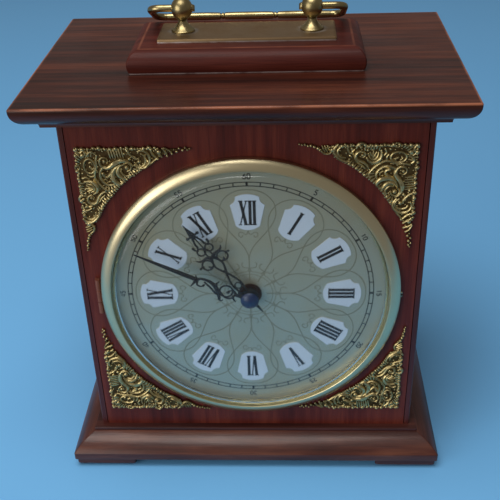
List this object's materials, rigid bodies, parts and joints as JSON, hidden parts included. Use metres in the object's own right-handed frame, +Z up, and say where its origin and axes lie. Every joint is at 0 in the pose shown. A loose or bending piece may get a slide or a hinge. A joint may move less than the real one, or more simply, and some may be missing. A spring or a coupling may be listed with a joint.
{
  "type": "table clock",
  "caption": "Mantel table clock: moulded wooden case with bail handle, round glazed dial on a hinged bezel, cast corner mounts, battery movement and rear door",
  "frame": {"origin": "on the table under the middle of the case", "axes": "+Z up, the dial faces -Y, +X to the right seen from the front"},
  "size_m": [0.204, 0.1396, 0.24],
  "materials": {
    "case_wood": "stained red-brown hardwood under gloss varnish",
    "front_wood": "vertical mahogany veneer under satin varnish",
    "plain_wood": "plain sanded board, not stained",
    "foot_felt": "dark matt pad",
    "brass": "polished, lacquered",
    "dial_brass": "satin, fine grained, pale champagne",
    "plaque_enamel": "off-white, slightly glossy",
    "black_lacquer": "blue-black gloss",
    "glass": "clear, domed",
    "steel": "plain turned steel",
    "black_plastic": "fine moulded grain",
    "white_plastic": "moulded",
    "circuit_green": "green board",
    "coil_copper": "enamelled copper wire",
    "cell_wrap": "printed-free metal sleeve"
  },
  "bodies": {
    "case": {"base_board": "case_wood", "base_step": "case_wood", "feet": "case_wood", "foot_pads": "foot_felt", "front_panel": "front_wood", "side_panel_left": "case_wood", "side_panel_right": "case_wood", "back_panel": "plain_wood", "corner_blocks": "plain_wood", "cove_board": "case_wood", "top_board": "case_wood", "handle_block": "case_wood", "handle_plate": "brass", "post_left": "brass", "post_right": "brass", "post_nuts": "steel", "dial_plate": "dial_brass", "dial_rim": "brass", "plaques": "plaque_enamel", "mount_top_left": "brass", "mount_top_right": "brass", "mount_low_left": "brass", "mount_low_right": "brass", "mount_pins": "brass", "bezel_hinge_leaf": "brass", "bezel_hinge_pin": "brass", "bezel_hinge_screws": "steel", "movement_case": "black_plastic", "movement_cover": "black_plastic", "movement_gasket": "foot_felt", "bush_nut": "black_lacquer", "circuit_board": "circuit_green", "coil": "coil_copper", "motion_post": "steel", "battery": "cell_wrap", "battery_contacts": "steel", "door_hinge_fixed": "brass", "door_hinge_pins": "brass", "door_hinge_screws": "brass", "door_catch": "black_plastic"},
    "handle": {"bail_handle": "brass"},
    "glazed_bezel": {"bezel": "brass", "bezel_glass": "glass", "glass_clips": "brass"},
    "rear_door": {"back_door": "plain_wood", "door_knob": "brass", "door_hinge_moving": "brass", "door_leaf_screws": "brass", "catch_plate": "steel"},
    "minute_work": {"minute_arbor": "steel", "minute_hand": "black_lacquer", "hand_cap": "black_lacquer", "set_knob": "black_plastic"},
    "motion_work": {"motion_wheel": "white_plastic"},
    "hour_work": {"hour_wheel": "white_plastic", "hour_hand": "black_lacquer"}
  },
  "joints": [
    {"name": "handle_swing", "type": "hinge", "parent": "case", "child": "handle", "pos_m": [0, 0, 0.2348], "axis": [1, 0, 0], "range_deg": [0, 228.5]},
    {"name": "bezel_open", "type": "hinge", "parent": "case", "child": "glazed_bezel", "pos_m": [-0.0768, -0.05585, 0.1066], "axis": [0, 0, -1], "range_deg": [0, 115]},
    {"name": "door_open", "type": "hinge", "parent": "case", "child": "rear_door", "pos_m": [-0.05175, 0.05585, 0.1073], "axis": [0, 0, 1], "range_deg": [0, 110]},
    {"name": "minute_turn", "type": "hinge", "parent": "case", "child": "minute_work", "pos_m": [0, -0.05425, 0.1066], "axis": [0, 1, 0], "continuous": true},
    {"name": "hour_turn", "type": "hinge", "parent": "case", "child": "hour_work", "pos_m": [0, -0.05425, 0.1066], "axis": [0, 1, 0], "continuous": true},
    {"name": "motion_turn", "type": "hinge", "parent": "case", "child": "motion_work", "pos_m": [-0.008, -0.05, 0.1066], "axis": [0, 1, 0], "continuous": true}
  ],
  "couplings": [
    {"joint": "hour_turn", "follows": "minute_turn", "ratio": 0.083333},
    {"joint": "motion_turn", "follows": "minute_turn", "ratio": -0.33333}
  ]
}
